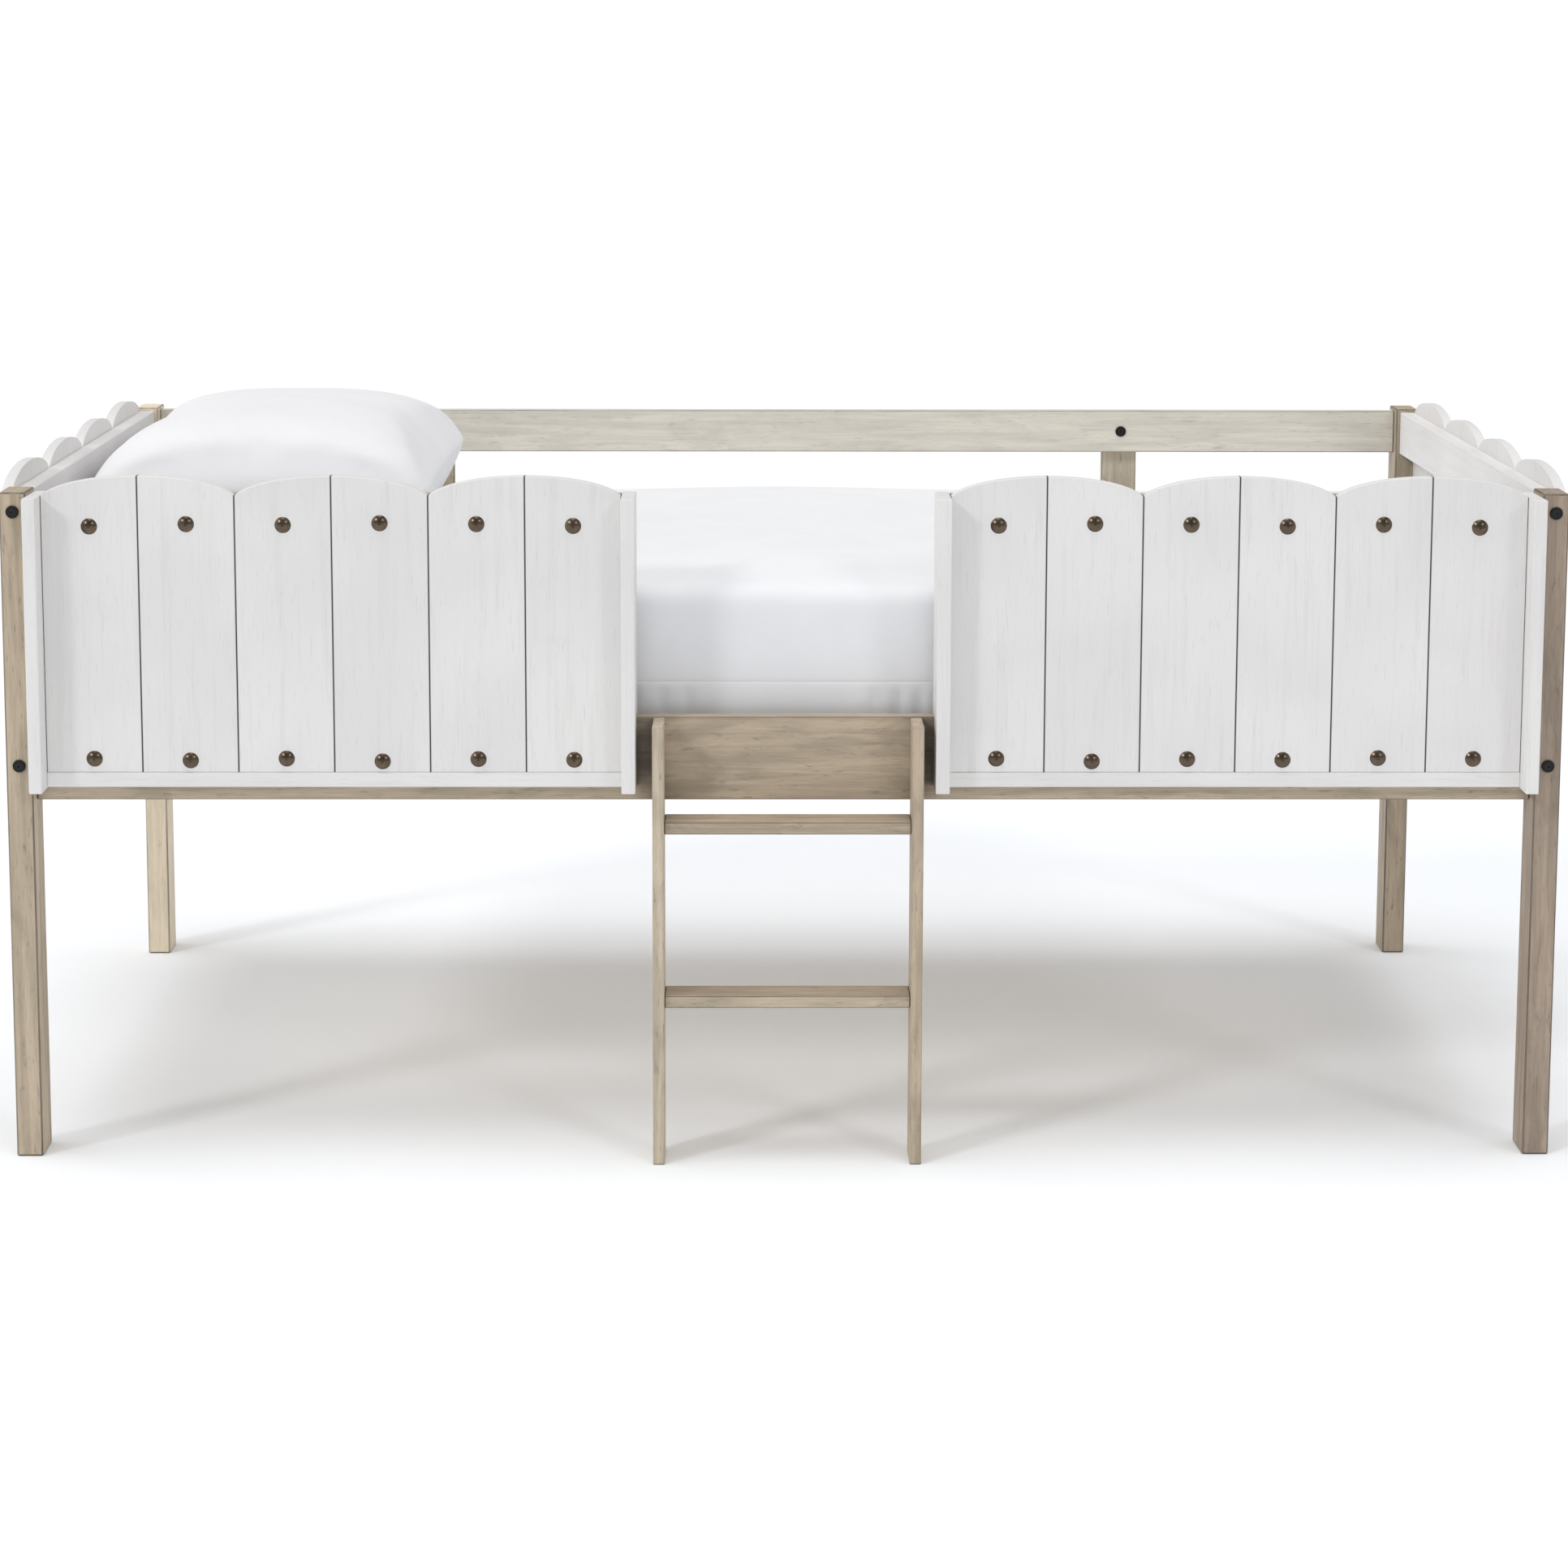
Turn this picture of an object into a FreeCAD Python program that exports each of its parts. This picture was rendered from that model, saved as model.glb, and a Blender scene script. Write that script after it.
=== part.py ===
import FreeCAD, Part
import math
import os

from FreeCAD import Vector

# Low loft bed for one twin mattress, with scalloped plank guards and a fixed two-rung ladder.
# Millimetres, +Z up, X along the bed, front faces -Y. Until export, Y = 0 is the front face of
# the front posts and Z = 0 is the floor; export moves the bed so that its box is centred.

# Posts
BED_LENGTH = 1994.0            # outer faces of the posts
BED_DEPTH = 1059.0             # front face of the front posts to rear face of the rear posts
POST_W = 34.0
POST_D = 59.0
POST_H = 870.0
POST_EASE = 3.0                # worn round on the posts' arrises

# Rails
RAIL_T = 22.0
RAIL_EASE = 2.0
DECK_Z0 = 468.0                # lower rails, which carry the slats
DECK_Z1 = 577.0
GUARD_Z0 = 800.0               # upper rails
GUARD_Z1 = 865.0
FRONT_RAIL_Y = 23.0            # front face of the front rails
UPRIGHT_T = 18.0               # rear uprights, flush with the rear posts
UPRIGHT_W = 54.0
UPRIGHT_X = 535.0
UPRIGHT_TOP_Z = 852.0          # stops below the rear guard rail's top edge

# Scalloped planks: two planks make one scallop
PLANK_T = 14.5
PLANK_FRONT_Y = FRONT_RAIL_Y - PLANK_T
PLANKS_PER_PANEL = 6
SCALLOP_VALLEY_Z = 864.0
SCALLOP_PEAK_Z = 890.0
SCALLOP_RISE_SHARE = 0.74      # share of the ellipse's height that the scallop uses
PLANK_EASE = 1.3
JOINT_GAP = 0.4                # open joint between neighbouring planks
END_PLANK_T = 14.0
END_PLANKS = 8
END_PLANK_Z0 = 480.0

# White trim around the front planks
STILE_FRONT_Y = -27.0
STILE_BACK_Y = 55.0
STILE_Z0 = 486.0
OUTER_STILE_W = 16.5
GAP_STILE_W = 18.0
ENTRY_HALF = 191.5             # half the clear entry between the two panels
LEDGE_Z0 = 488.0
LEDGE_Z1 = 507.0
LEDGE_PROUD = 1.5

# Slatted base
SLATS = 13
SLAT_W = 64.0
SLAT_T = 18.0
SLAT_TOP_Z = 545.0
SLAT_CLEAR = 2.0
SLAT_SPAN = 1830.0             # centre of the first slat to centre of the last
LEDGER = 22.0
STRAP_W = 25.0
STRAP_T = 1.2
STRAP_INSET = 150.0

# Ladder
LADDER_X = 3.0                 # centre of the ladder
LEG_W = 15.0
LEG_FRONT_Y = -38.0
LEG_TOP_Z = 576.0
LADDER_W = 346.0
RUNG_T = 16.0
RUNG_D = 50.0
RUNG_FRONT_Y = -30.0
RUNG_TOPS = {"lower": 222.0, "upper": 450.0}

# Bedding
MATTRESS_L = 1900.0
MATTRESS_W = 955.0
MATTRESS_TOP_Z = 748.0
MATTRESS_ROUND = 26.0
REST_GAP = 0.3                 # clearance below each lift-off piece
PILLOW_X = -714.0
PILLOW_Y = 625.0
PILLOW_L = 498.0
PILLOW_W = 700.0
PILLOW_T = 172.0
PILLOW_ROUND = 74.0

# Fasteners
BOLT_HEAD_R = 8.2
BOLT_HEAD_T = 2.6
BOLT_SHANK_R = 3.0
BOLT_CLEAR = 0.2
HEX_AF = 5.0                   # across the flats of the hex socket
HEX_DEEP = 2.2
POST_BOLT_Z = (517.0, 845.0)
POST_BOLT_L = 100.0
DECK_BOLT_Z = (492.0, 553.0)
GUARD_BOLT_Z = 832.5
RAIL_BOLT_REACH = 50.0         # bolt length inside the rail
NUT_R = 6.0
NUT_L = 18.0
NUT_BACK = 9.0                 # barrel nut's centre, measured back from the bolt's tip
NAIL_HEAD_R = 10.4
NAIL_HEAD_H = 4.6
NAIL_SHANK_R = 1.5
NAIL_L = 28.0
NAIL_ROWS_Z = (524.0, 828.0)
NAIL_WANDER = (0.8, -1.4, 1.0, -2.6, 0.4, -0.6, 1.8)
SCREW_R = 2.2
SCREW_HEAD_R = 4.5
SCREW_HEAD_T = 2.6

HALF = BED_LENGTH / 2
POST_X = HALF - POST_W / 2
BAY = HALF - POST_W            # half the clear length between the posts
REAR_POST_Y = BED_DEPTH - POST_D
REAR_RAIL_Y = BED_DEPTH - UPRIGHT_T - RAIL_T
FRONT_RAIL_BACK = FRONT_RAIL_Y + RAIL_T
END_RAIL_X = POST_X - RAIL_T / 2
END_PLANK_X = END_RAIL_X + RAIL_T
PANEL_OUT = BAY - OUTER_STILE_W
PANEL_IN = ENTRY_HALF + GAP_STILE_W
PLANK_PITCH = (PANEL_OUT - PANEL_IN) / PLANKS_PER_PANEL
END_PITCH = (REAR_POST_Y - POST_D) / END_PLANKS
SLAT_Z0 = SLAT_TOP_Z - SLAT_T
LEG_CENTRE = (LADDER_W - LEG_W) / 2
LADDER_IN = LADDER_W / 2 - LEG_W
SIDES = {"left": -1, "right": 1}

X_AXIS = Vector(1, 0, 0)
Y_AXIS = Vector(0, 1, 0)
Z_AXIS = Vector(0, 0, 1)

nodes = {}


def box(x_a, x_b, y_a, y_b, z_a, z_b):
    """Plain box between two corners, given in any order."""
    low = Vector(min(x_a, x_b), min(y_a, y_b), min(z_a, z_b))
    return Part.makeBox(abs(x_b - x_a), abs(y_b - y_a), abs(z_b - z_a), low)


def board(x_a, x_b, y_a, y_b, z_a, z_b, ease=RAIL_EASE):
    """Planed board with every edge eased to a small round."""
    plain = box(x_a, x_b, y_a, y_b, z_a, z_b)
    return plain.makeFillet(ease, plain.Edges)


def bore(start, direction, length, radius=BOLT_SHANK_R + BOLT_CLEAR):
    """Cutting tool for one drilled hole."""
    return Part.makeCylinder(radius, length, start, direction)


def drill(name, tools):
    """Cut several holes out of one node."""
    nodes[name] = nodes[name].cut(tools)


def hex_bolt(head_face, direction, length):
    """Flanged furniture bolt: head stands on head_face and the shank runs along direction."""
    outward = direction * -1
    flange = Part.makeCylinder(BOLT_HEAD_R, BOLT_HEAD_T, head_face, outward)
    rim = [edge for edge in flange.Edges if edge.Length > 1 and is_outer_rim(edge, head_face, outward)]
    flange = flange.makeFillet(BOLT_HEAD_T * 0.6, rim)
    corner_r = HEX_AF / math.sqrt(3)
    corners = [Vector(corner_r * math.cos(math.radians(a)), corner_r * math.sin(math.radians(a)), 0)
               for a in range(0, 420, 60)]
    socket = Part.Face(Part.makePolygon(corners)).extrude(Z_AXIS * HEX_DEEP)
    socket.Placement = FreeCAD.Placement(head_face + outward * (BOLT_HEAD_T - HEX_DEEP),
                                         FreeCAD.Rotation(Z_AXIS, outward))
    shank = Part.makeCylinder(BOLT_SHANK_R, length, head_face, direction)
    return flange.fuse(shank).cut(socket)


def is_outer_rim(edge, head_face, outward):
    """True for the circle at the outer end of a bolt's flange."""
    return abs((edge.CenterOfMass - head_face).dot(outward) - BOLT_HEAD_T) < 0.01


def barrel_nut(centre, direction):
    """Cross dowel before its cross hole is drilled."""
    return Part.makeCylinder(NUT_R, NUT_L, centre - direction * (NUT_L / 2), direction)


def countersunk_screw(head_face, direction, length):
    """Wood screw with its flat head flush with head_face."""
    head = Part.makeCone(SCREW_HEAD_R, SCREW_R, SCREW_HEAD_T, head_face, direction)
    shank = Part.makeCylinder(SCREW_R, length, head_face, direction)
    return head.fuse(shank)


def screw_bore(head_face, direction, length):
    """Hole that takes a countersunk screw."""
    mouth = Part.makeCone(SCREW_HEAD_R + BOLT_CLEAR, SCREW_R + BOLT_CLEAR, SCREW_HEAD_T,
                          head_face, direction)
    return mouth.fuse(bore(head_face, direction, length + 1, SCREW_R + BOLT_CLEAR))


def dome_nail(face_point, direction):
    """Upholstery-style nail: low dome on the face, round shank along direction."""
    sphere_r = (NAIL_HEAD_R ** 2 + NAIL_HEAD_H ** 2) / (2 * NAIL_HEAD_H)
    sphere = Part.makeSphere(sphere_r, Vector(0, 0, NAIL_HEAD_H - sphere_r))
    keep = Part.makeCylinder(NAIL_HEAD_R + 1, NAIL_HEAD_H + 1)
    nail = sphere.common(keep).fuse(Part.makeCylinder(NAIL_SHANK_R, NAIL_L, Vector(), Z_AXIS * -1))
    nail.Placement = FreeCAD.Placement(face_point, FreeCAD.Rotation(Z_AXIS, direction * -1))
    return nail


# ---------------------------------------------------------------- posts and rails

def make_posts():
    for side, sign in SIDES.items():
        for row, y_a in (("front", 0.0), ("rear", REAR_POST_Y)):
            nodes[f"post_{row}_{side}"] = board(sign * BAY, sign * HALF, y_a, y_a + POST_D,
                                                0, POST_H, POST_EASE)


def make_rails():
    for row, y_a in (("front", FRONT_RAIL_Y), ("rear", REAR_RAIL_Y)):
        nodes[f"side_rail_{row}"] = board(-BAY, BAY, y_a, y_a + RAIL_T, DECK_Z0, DECK_Z1)
    nodes["guard_rail_rear"] = board(-BAY, BAY, REAR_RAIL_Y, REAR_RAIL_Y + RAIL_T,
                                     GUARD_Z0, GUARD_Z1)
    for side, sign in SIDES.items():
        nodes[f"guard_rail_front_{side}"] = board(sign * PANEL_IN, sign * PANEL_OUT, FRONT_RAIL_Y,
                                                  FRONT_RAIL_BACK, GUARD_Z0, GUARD_Z1)
        x_a = sign * END_RAIL_X
        x_b = sign * END_PLANK_X
        nodes[f"end_rail_lower_{side}"] = board(x_a, x_b, POST_D, REAR_POST_Y, DECK_Z0, DECK_Z1)
        nodes[f"end_rail_upper_{side}"] = board(x_a, x_b, POST_D, REAR_POST_Y, GUARD_Z0, GUARD_Z1)
        nodes[f"rear_upright_{side}"] = board(sign * UPRIGHT_X - UPRIGHT_W / 2,
                                              sign * UPRIGHT_X + UPRIGHT_W / 2,
                                              BED_DEPTH - UPRIGHT_T, BED_DEPTH, DECK_Z0,
                                              UPRIGHT_TOP_Z)


# ---------------------------------------------------------------- scalloped planks

def plank(width, thickness, z_low, crown_on_right):
    """Half a scallop, drawn in XY with the crown side on the right or left, front face up."""
    rise = SCALLOP_PEAK_Z - SCALLOP_VALLEY_Z
    semi_z = rise / SCALLOP_RISE_SHARE
    valley_sine = 1 - SCALLOP_RISE_SHARE
    semi_x = width / math.sqrt(1 - valley_sine ** 2)
    half_gap = JOINT_GAP / 2
    crown = Vector(width, SCALLOP_PEAK_Z - semi_z, 0)
    ellipse = Part.Ellipse(crown, semi_x, semi_z)
    first = math.acos(-half_gap / semi_x)
    last = math.acos(-(width - half_gap) / semi_x)
    arc = Part.ArcOfEllipse(ellipse, first, last).toShape()
    top_right = arc.valueAt(arc.FirstParameter)
    top_left = arc.valueAt(arc.LastParameter)
    low_left = Vector(half_gap, z_low, 0)
    low_right = Vector(width - half_gap, z_low, 0)
    outline = Part.Wire([arc, Part.makeLine(top_left, low_left), Part.makeLine(low_left, low_right),
                         Part.makeLine(low_right, top_right)])
    solid = Part.Face(outline).extrude(Z_AXIS * thickness)
    front = max(solid.Faces, key=lambda face: face.CenterOfMass.z)
    solid = solid.makeFillet(PLANK_EASE, front.Edges)
    if not crown_on_right:
        solid = solid.mirror(Vector(width / 2, 0, 0), X_AXIS)
    return solid


def stand_up(solid, turn, corner):
    """Stand a plank up, turn it about Z by turn degrees, and put its back corner on corner."""
    placed = solid.copy()
    placed.rotate(Vector(), X_AXIS, 90)
    placed.rotate(Vector(), Z_AXIS, turn)
    placed.translate(corner)
    return placed


def nail_z(row_z, index):
    """Height of a hand-driven nail."""
    return row_z + NAIL_WANDER[index % len(NAIL_WANDER)]


def make_front_planks(nails):
    for side, sign in SIDES.items():
        start = -PANEL_OUT if sign < 0 else PANEL_IN
        for index in range(PLANKS_PER_PANEL):
            name = f"front_plank_{side}_{index + 1}"
            solid = plank(PLANK_PITCH, PLANK_T, LEDGE_Z1, index % 2 == 0)
            left = start + index * PLANK_PITCH
            nodes[name] = stand_up(solid, 0, Vector(left, FRONT_RAIL_Y, 0))
            for row, row_z in enumerate(NAIL_ROWS_Z):
                spot = Vector(left + PLANK_PITCH / 2, PLANK_FRONT_Y,
                              nail_z(row_z, index + 3 * row + (2 if sign > 0 else 0)))
                nails.append((spot, Y_AXIS))
                hole = bore(spot, Y_AXIS, NAIL_L + 1, NAIL_SHANK_R + BOLT_CLEAR)
                drill(name, [hole])
                rail = "side_rail_front" if row == 0 else f"guard_rail_front_{side}"
                drill(rail, [hole])


def make_end_planks(nails):
    for side, sign in SIDES.items():
        for pair in range(END_PLANKS // 2):
            solids = []
            name = f"end_scallop_{side}_{pair + 1}"
            for half in range(2):
                index = 2 * pair + half
                near = POST_D + index * END_PITCH
                crown_far = half == 0
                solid = plank(END_PITCH, END_PLANK_T, END_PLANK_Z0, crown_far == (sign > 0))
                corner_y = near if sign > 0 else near + END_PITCH
                placed = stand_up(solid, sign * 90, Vector(sign * END_PLANK_X, corner_y, 0))
                for row, row_z in enumerate(NAIL_ROWS_Z):
                    spot = Vector(sign * (END_PLANK_X + END_PLANK_T), near + END_PITCH / 2,
                                  nail_z(row_z, index + 2 * row))
                    inward = X_AXIS * -sign
                    nails.append((spot, inward))
                    hole = bore(spot, inward, NAIL_L + 1, NAIL_SHANK_R + BOLT_CLEAR)
                    placed = placed.cut(hole)
                    level = "lower" if row == 0 else "upper"
                    drill(f"end_rail_{level}_{side}", [hole])
                solids.append(placed)
            nodes[name] = Part.makeCompound(solids)


# ---------------------------------------------------------------- white trim

def stile(x_a, x_b):
    """Board on edge, notched below so that it sits over the side rail's front."""
    whole = board(x_a, x_b, STILE_FRONT_Y, STILE_BACK_Y, STILE_Z0, GUARD_Z1, PLANK_EASE)
    notch = box(x_a, x_b, FRONT_RAIL_Y, STILE_BACK_Y, STILE_Z0, DECK_Z1)
    return whole.cut(notch)


def make_trim():
    for side, sign in SIDES.items():
        nodes[f"stile_outer_{side}"] = stile(sign * PANEL_OUT, sign * BAY)
        nodes[f"stile_entry_{side}"] = stile(sign * ENTRY_HALF, sign * PANEL_IN)
        nodes[f"ledge_{side}"] = board(sign * PANEL_IN, sign * PANEL_OUT,
                                       PLANK_FRONT_Y - LEDGE_PROUD, FRONT_RAIL_Y,
                                       LEDGE_Z0, LEDGE_Z1, PLANK_EASE)


# ---------------------------------------------------------------- slatted base

def make_base():
    front_ledger = (FRONT_RAIL_BACK, FRONT_RAIL_BACK + LEDGER)
    rear_ledger = (REAR_RAIL_Y - LEDGER, REAR_RAIL_Y)
    for row, (y_a, y_b) in (("front", front_ledger), ("rear", rear_ledger)):
        nodes[f"slat_ledger_{row}"] = board(-BAY, BAY, y_a, y_b, SLAT_Z0 - LEDGER, SLAT_Z0, 1.0)
    slats = []
    screws = []
    for index in range(SLATS):
        centre = -SLAT_SPAN / 2 + index * SLAT_SPAN / (SLATS - 1)
        slat = board(centre - SLAT_W / 2, centre + SLAT_W / 2, FRONT_RAIL_BACK + SLAT_CLEAR,
                     REAR_RAIL_Y - SLAT_CLEAR, SLAT_Z0, SLAT_TOP_Z, 1.5)
        for row, y_screw in (("front", sum(front_ledger) / 2), ("rear", sum(rear_ledger) / 2)):
            spot = Vector(centre, y_screw, SLAT_TOP_Z)
            down = Z_AXIS * -1
            length = SLAT_T + LEDGER * 0.7
            screws.append(countersunk_screw(spot, down, length))
            hole = screw_bore(spot, down, length)
            slat = slat.cut(hole)
            drill(f"slat_ledger_{row}", [hole])
        slats.append(slat)
    nodes["slats"] = Part.makeCompound(slats)
    nodes["slat_screws"] = Part.makeCompound(screws)
    half = (SLAT_SPAN + SLAT_W) / 2
    straps = [box(-half, half, y_mid - STRAP_W / 2, y_mid + STRAP_W / 2, SLAT_Z0 - STRAP_T, SLAT_Z0)
              for y_mid in (front_ledger[1] + STRAP_INSET, rear_ledger[0] - STRAP_INSET)]
    nodes["slat_webbing"] = Part.makeCompound(straps)


# ---------------------------------------------------------------- ladder

def make_ladder():
    screws = []
    bolts = []
    for side, sign in SIDES.items():
        centre = LADDER_X + sign * LEG_CENTRE
        leg = f"ladder_leg_{side}"
        nodes[leg] = board(centre - LEG_W / 2, centre + LEG_W / 2, LEG_FRONT_Y, FRONT_RAIL_Y,
                           0, LEG_TOP_Z, 1.8)
        for height in DECK_BOLT_Z:
            spot = Vector(centre, FRONT_RAIL_BACK, height)
            length = RAIL_T + 2 * BOLT_HEAD_R + RAIL_T
            bolts.append(hex_bolt(spot, Y_AXIS * -1, length))
            hole = bore(spot, Y_AXIS * -1, length + 1)
            drill("side_rail_front", [hole])
            drill(leg, [hole])
    for level, top in RUNG_TOPS.items():
        rung = f"ladder_rung_{level}"
        nodes[rung] = board(LADDER_X - LADDER_IN, LADDER_X + LADDER_IN, RUNG_FRONT_Y,
                            RUNG_FRONT_Y + RUNG_D, top - RUNG_T, top, 1.8)
        for side, sign in SIDES.items():
            for share in (0.25, 0.75):
                spot = Vector(LADDER_X + sign * LADDER_W / 2, RUNG_FRONT_Y + share * RUNG_D,
                              top - RUNG_T / 2)
                inward = X_AXIS * -sign
                length = LEG_W * 3
                screws.append(countersunk_screw(spot, inward, length))
                hole = screw_bore(spot, inward, length)
                drill(f"ladder_leg_{side}", [hole])
                drill(rung, [hole])
    nodes["rung_screws"] = Part.makeCompound(screws)
    nodes["ladder_bolts"] = Part.makeCompound(bolts)


# ---------------------------------------------------------------- fasteners

def fit_bolt(head_face, direction, length, parts, nut_parts, nut_direction):
    """Bolt and barrel nut: drills every part they pass and returns both solids."""
    bolt_hole = bore(head_face, direction, length + 1)
    nut_centre = head_face + direction * (length - NUT_BACK)
    nut_hole = Part.makeCylinder(NUT_R + BOLT_CLEAR, NUT_L + 1,
                                 nut_centre - nut_direction * (NUT_L / 2 + 1), nut_direction)
    for name in parts:
        drill(name, [bolt_hole])
    for name in nut_parts:
        drill(name, [bolt_hole, nut_hole])
    nut = barrel_nut(nut_centre, nut_direction).cut(bolt_hole)
    return hex_bolt(head_face, direction, length), nut


def make_frame_bolts():
    post_bolts = []
    rail_bolts = []
    nuts = []
    for side, sign in SIDES.items():
        for row, face_y, inward in (("front", 0.0, Y_AXIS), ("rear", BED_DEPTH, Y_AXIS * -1)):
            for level, height in zip(("lower", "upper"), POST_BOLT_Z):
                head = Vector(sign * POST_X, face_y, height)
                bolt, nut = fit_bolt(head, inward, POST_BOLT_L, [f"post_{row}_{side}"],
                                     [f"end_rail_{level}_{side}"], X_AXIS * -sign)
                post_bolts.append(bolt)
                nuts.append(nut)
            rail_y = FRONT_RAIL_Y + RAIL_T / 2 if row == "front" else REAR_RAIL_Y + RAIL_T / 2
            for height in DECK_BOLT_Z + (GUARD_BOLT_Z,):
                head = Vector(sign * HALF, rail_y, height)
                passed = [f"post_{row}_{side}"]
                reach = POST_W + RAIL_BOLT_REACH
                rail = f"side_rail_{row}"
                if height == GUARD_BOLT_Z:
                    rail = "guard_rail_rear"
                    if row == "front":
                        passed.append(f"stile_outer_{side}")
                        reach += OUTER_STILE_W
                        rail = f"guard_rail_front_{side}"
                bolt, nut = fit_bolt(head, X_AXIS * -sign, reach, passed, [rail], inward * -1)
                rail_bolts.append(bolt)
                nuts.append(nut)
    nodes["post_bolts"] = Part.makeCompound(post_bolts)
    nodes["rail_bolts"] = Part.makeCompound(rail_bolts)
    nodes["barrel_nuts"] = Part.makeCompound(nuts)


def make_upright_bolts():
    bolts = []
    length = RAIL_T + UPRIGHT_T - 4
    for side, sign in SIDES.items():
        for height in DECK_BOLT_Z + (GUARD_BOLT_Z,):
            head = Vector(sign * UPRIGHT_X, REAR_RAIL_Y, height)
            bolts.append(hex_bolt(head, Y_AXIS, length))
            hole = bore(head, Y_AXIS, length + 1)
            drill("guard_rail_rear" if height == GUARD_BOLT_Z else "side_rail_rear", [hole])
            drill(f"rear_upright_{side}", [hole])
    nodes["upright_bolts"] = Part.makeCompound(bolts)


# ---------------------------------------------------------------- bedding

def make_bedding():
    middle_y = (STILE_BACK_Y + REAR_RAIL_Y) / 2
    nodes["mattress"] = board(-MATTRESS_L / 2, MATTRESS_L / 2, middle_y - MATTRESS_W / 2,
                              middle_y + MATTRESS_W / 2, SLAT_TOP_Z + REST_GAP, MATTRESS_TOP_Z,
                              MATTRESS_ROUND)
    low = MATTRESS_TOP_Z + REST_GAP
    nodes["pillow"] = board(PILLOW_X - PILLOW_L / 2, PILLOW_X + PILLOW_L / 2,
                            PILLOW_Y - PILLOW_W / 2, PILLOW_Y + PILLOW_W / 2,
                            low, low + PILLOW_T, PILLOW_ROUND)


def build():
    nails = []
    make_posts()
    make_rails()
    make_trim()
    make_front_planks(nails)
    make_end_planks(nails)
    nodes["dome_nails"] = Part.makeCompound([dome_nail(spot, way) for spot, way in nails])
    make_base()
    make_ladder()
    make_frame_bolts()
    make_upright_bolts()
    make_bedding()
    os.makedirs("parts", exist_ok=True)
    rear_reach = BED_DEPTH + BOLT_HEAD_T
    centre = Vector(0, -(LEG_FRONT_Y + rear_reach) / 2, 0)
    for name, shape in nodes.items():
        placed = shape.copy()
        placed.translate(centre)
        placed.exportStep(f"parts/{name}.step")


build()
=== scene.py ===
import math

import bmesh
import bpy
from mathutils import Matrix, Vector, noise


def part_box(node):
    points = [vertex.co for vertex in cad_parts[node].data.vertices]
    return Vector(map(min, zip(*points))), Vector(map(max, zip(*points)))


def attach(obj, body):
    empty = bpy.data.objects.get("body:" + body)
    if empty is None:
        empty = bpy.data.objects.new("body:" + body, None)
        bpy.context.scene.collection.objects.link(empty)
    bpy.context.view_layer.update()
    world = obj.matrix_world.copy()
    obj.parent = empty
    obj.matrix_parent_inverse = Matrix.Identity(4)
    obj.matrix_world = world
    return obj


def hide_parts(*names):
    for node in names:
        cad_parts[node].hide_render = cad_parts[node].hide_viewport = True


# A low loft bed: looks only. Everything is in metres in the CAD frame: +Z up, the front faces -Y.
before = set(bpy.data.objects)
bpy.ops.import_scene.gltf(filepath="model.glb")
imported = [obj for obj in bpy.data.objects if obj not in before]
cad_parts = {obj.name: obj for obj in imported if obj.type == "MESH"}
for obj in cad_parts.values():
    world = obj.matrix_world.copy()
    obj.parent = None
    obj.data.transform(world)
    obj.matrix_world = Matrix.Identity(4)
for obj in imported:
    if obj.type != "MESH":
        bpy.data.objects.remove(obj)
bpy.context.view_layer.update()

# Camera
CAMERA_PLACE = Vector((-0.0526, -4.8534, 1.4471))
CAMERA_YAW = math.radians(0.658)        # towards +X
CAMERA_PITCH = math.radians(7.843)      # downwards
CAMERA_ROLL = math.radians(0.146)
CAMERA_LENS = 79.30
SENSOR_WIDTH = 36
CAMERA_SHIFT_Y = -0.175

# Light
SKY_STRENGTH = 0.32
BACKDROP_STRENGTH = 1.05                # the white behind everything
FLOOR_GLOW = 0.09                       # the floor is a lit white panel
FLOOR_REACH = 60                        # half the floor's side
SUNS = {                                # strength, then angle, elevation and azimuth in degrees
    "overhead_softbox": (1.45, 40, 86, -35),
    "key_softbox": (0.66, 10, 33, -48),
    "fill_softbox": (0.34, 12, 30, 37),
    "left_softbox": (0.84, 60, 20, -95),
    "right_softbox": (0.44, 60, 20, 95)}

# Mattress in its sheet
MATTRESS_CELL = 0.014                   # grid spacing before the cloth simulation
MATTRESS_ROUND = 0.020
MATTRESS_INSET = 0.006                  # how far inside its CAD solid it starts
MATTRESS_CAP = 0.008                    # the furthest that the simulation may move a point
CROWN_ALL_OVER = 0.004
CROWN_MIDDLE = 0.008
CROWN_REACH = 0.2                       # half width of the middle crown, along the bed
FRONT_DROP = 0.010                      # the front edge is sat on, so it is lower and rounder
HEM_SEAM_ABOVE_RAIL = 0.036             # the sheet's seam, above the side rail's top edge
HEM_SEAM_STEP = 0.0012                  # spacing of the mesh cuts at the seam
HEM_SEAM_DEPTH = 0.0008
HEM_SEAM_WIDTH = 0.0011
HEM_STANDS_OUT = 0.004                  # how far the band under the seam comes out
PLEAT_DEPTH = 0.0055
PLEAT_TURN = 190                        # radians for each metre along a side
WRINKLE = 0.0012

# Pillow in its case
PILLOW_CELL = 0.009
PILLOW_INSET = 0.006
PILLOW_CAP = 0.010
PILLOW_SEAM = 0.50                      # the sewn edge's height, as a share of the pillow's
PILLOW_CLEAR = 0.03                     # the mattress top is held down this far past the pillow


# ---------------------------------------------------------------- node helpers

def srgb(red, green, blue):
    """Linear colour from a display colour with channels 0 to 255."""
    linear = []
    for channel in (red, green, blue):
        value = channel / 255
        linear.append(value / 12.92 if value <= 0.04045 else ((value + 0.055) / 1.055) ** 2.4)
    return (*linear, 1.0)


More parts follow.
